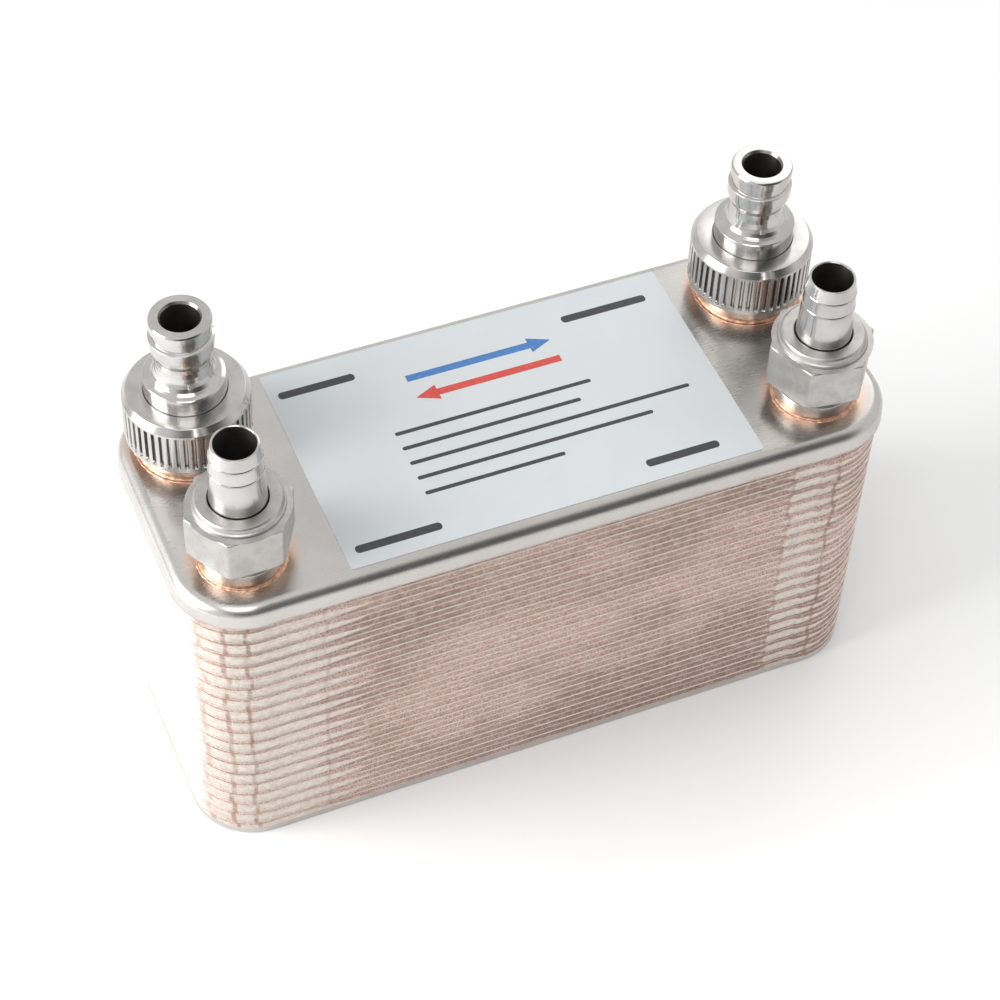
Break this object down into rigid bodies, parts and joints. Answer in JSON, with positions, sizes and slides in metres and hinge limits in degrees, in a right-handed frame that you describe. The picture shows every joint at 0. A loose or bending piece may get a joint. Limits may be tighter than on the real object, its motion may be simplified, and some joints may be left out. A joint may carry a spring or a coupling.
{
  "type": "brazed plate wort chiller",
  "caption": "Counterflow plate heat exchanger that cools hot wort with tap water: nested herringbone plates, copper brazed, with barbed wort tails and quick-connect water nipples.",
  "frame": {"origin": "middle of the plane that the chiller rests on, under its rear cover", "axes": "+X along the plates from the left ports to the right ports, -Y on the wort side, +Y on the water side, +Z out of the front cover along the ports"},
  "size_m": [0.1912, 0.0754, 0.1374],
  "materials": {
    "front_cover": "satin rolled stainless steel",
    "rear_cover": "satin stainless steel",
    "channel_plate": "pressed stainless sheet, copper-brazed at its lip",
    "stub": "turned and threaded stainless steel",
    "braze": "bright copper braze",
    "gasket": "off-white silicone, matte",
    "washer": "black rubber, matte",
    "hose_tail": "polished stainless steel",
    "union_nut": "investment-cast stainless steel, bead-blasted",
    "nipple": "turned and polished stainless steel",
    "fluted_nut": "turned stainless steel with milled flutes"
  },
  "bodies": {
    "root": {"front_cover_plate": "front_cover", "rear_cover_plate": "rear_cover", "channel_plate_01": "channel_plate", "channel_plate_02": "channel_plate", "channel_plate_03": "channel_plate", "channel_plate_04": "channel_plate", "channel_plate_05": "channel_plate", "channel_plate_06": "channel_plate", "channel_plate_07": "channel_plate", "channel_plate_08": "channel_plate", "channel_plate_09": "channel_plate", "channel_plate_10": "channel_plate", "channel_plate_11": "channel_plate", "channel_plate_12": "channel_plate", "channel_plate_13": "channel_plate", "channel_plate_14": "channel_plate", "channel_plate_15": "channel_plate", "channel_plate_16": "channel_plate", "channel_plate_17": "channel_plate", "channel_plate_18": "channel_plate", "channel_plate_19": "channel_plate", "channel_plate_20": "channel_plate", "channel_plate_21": "channel_plate", "channel_plate_22": "channel_plate", "channel_plate_23": "channel_plate", "channel_plate_24": "channel_plate", "channel_plate_25": "channel_plate", "channel_plate_26": "channel_plate", "channel_plate_27": "channel_plate", "channel_plate_28": "channel_plate", "channel_plate_29": "channel_plate", "channel_plate_30": "channel_plate", "channel_plate_31": "channel_plate", "channel_plate_32": "channel_plate", "channel_plate_33": "channel_plate", "channel_plate_34": "channel_plate", "channel_plate_35": "channel_plate", "channel_plate_36": "channel_plate", "channel_plate_37": "channel_plate", "channel_plate_38": "channel_plate", "wort_out_stub": "stub", "wort_out_braze_ring": "braze", "wort_out_gasket": "gasket", "wort_in_stub": "stub", "wort_in_braze_ring": "braze", "wort_in_gasket": "gasket", "water_in_stub": "stub", "water_in_braze_ring": "braze", "water_in_washer": "washer", "water_out_stub": "stub", "water_out_braze_ring": "braze", "water_out_washer": "washer"},
    "wort_out_tail_body": {"wort_out_hose_tail": "hose_tail"},
    "wort_out_nut_body": {"wort_out_union_nut": "union_nut"},
    "wort_in_tail_body": {"wort_in_hose_tail": "hose_tail"},
    "wort_in_nut_body": {"wort_in_union_nut": "union_nut"},
    "water_in_nipple_body": {"water_in_nipple": "nipple"},
    "water_in_nut_body": {"water_in_nut": "fluted_nut"},
    "water_out_nipple_body": {"water_out_nipple": "nipple"},
    "water_out_nut_body": {"water_out_nut": "fluted_nut"}
  },
  "joints": [
    {"name": "wort_out_lift", "type": "slide", "parent": "root", "child": "wort_out_tail_body", "axis": [0, 0, 1], "range_m": [0, 0.01]},
    {"name": "wort_out_nut_turn", "type": "hinge", "parent": "wort_out_tail_body", "child": "wort_out_nut_body", "pos_m": [-0.077, -0.02, 0.1086], "axis": [0, 0, 1], "range_deg": [0, 1980]},
    {"name": "wort_in_lift", "type": "slide", "parent": "root", "child": "wort_in_tail_body", "axis": [0, 0, 1], "range_m": [0, 0.01]},
    {"name": "wort_in_nut_turn", "type": "hinge", "parent": "wort_in_tail_body", "child": "wort_in_nut_body", "pos_m": [0.077, -0.02, 0.1086], "axis": [0, 0, 1], "range_deg": [0, 1980]},
    {"name": "water_in_lift", "type": "slide", "parent": "root", "child": "water_in_nipple_body", "axis": [0, 0, 1], "range_m": [0, 0.0091]},
    {"name": "water_in_nut_turn", "type": "hinge", "parent": "water_in_nipple_body", "child": "water_in_nut_body", "pos_m": [-0.077, 0.02, 0.1086], "axis": [0, 0, 1], "range_deg": [0, 1800]},
    {"name": "water_out_lift", "type": "slide", "parent": "root", "child": "water_out_nipple_body", "axis": [0, 0, 1], "range_m": [0, 0.0091]},
    {"name": "water_out_nut_turn", "type": "hinge", "parent": "water_out_nipple_body", "child": "water_out_nut_body", "pos_m": [0.077, 0.02, 0.1086], "axis": [0, 0, 1], "range_deg": [0, 1800]}
  ],
  "couplings": [
    {"joint": "wort_out_lift", "follows": "wort_out_nut_turn", "m_per_rad": 0.00028875},
    {"joint": "wort_in_lift", "follows": "wort_in_nut_turn", "m_per_rad": 0.00028875},
    {"joint": "water_in_lift", "follows": "water_in_nut_turn", "m_per_rad": 0.00028875},
    {"joint": "water_out_lift", "follows": "water_out_nut_turn", "m_per_rad": 0.00028875}
  ]
}
